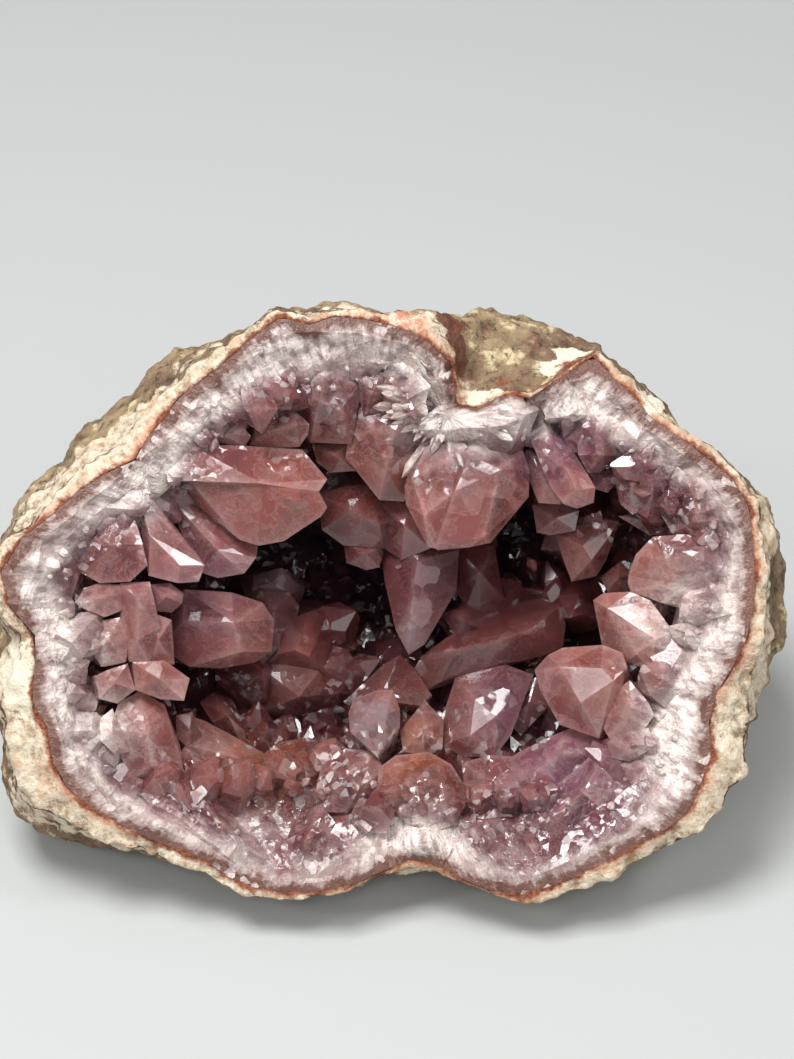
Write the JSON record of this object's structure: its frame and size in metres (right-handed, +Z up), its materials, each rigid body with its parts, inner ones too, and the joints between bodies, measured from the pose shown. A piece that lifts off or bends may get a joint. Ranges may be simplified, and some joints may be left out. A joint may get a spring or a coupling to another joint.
{
  "type": "amethyst geode half",
  "caption": "Half of a hollow pink amethyst geode: a lumpy rock rind with its broken mouth tilted up, lined with blocky quartz crystals.",
  "frame": {"origin": "on the surface that the geode rests on, in the middle of the worn patch under its weight", "axes": "+Z up, +X along the long way of the mouth to the viewer's right, -Y the side that the mouth faces"},
  "size_m": [0.0543, 0.0398, 0.0337],
  "materials": {
    "rock": "rough weathered clay and limonite, cream and rust at the broken edge",
    "amethyst": "glossy flat crystal faces, pink to salmon, frosted white towards the rock"
  },
  "bodies": {
    "root": {"rind": "rock", "crystal_crust": "amethyst"}
  },
  "joints": []
}
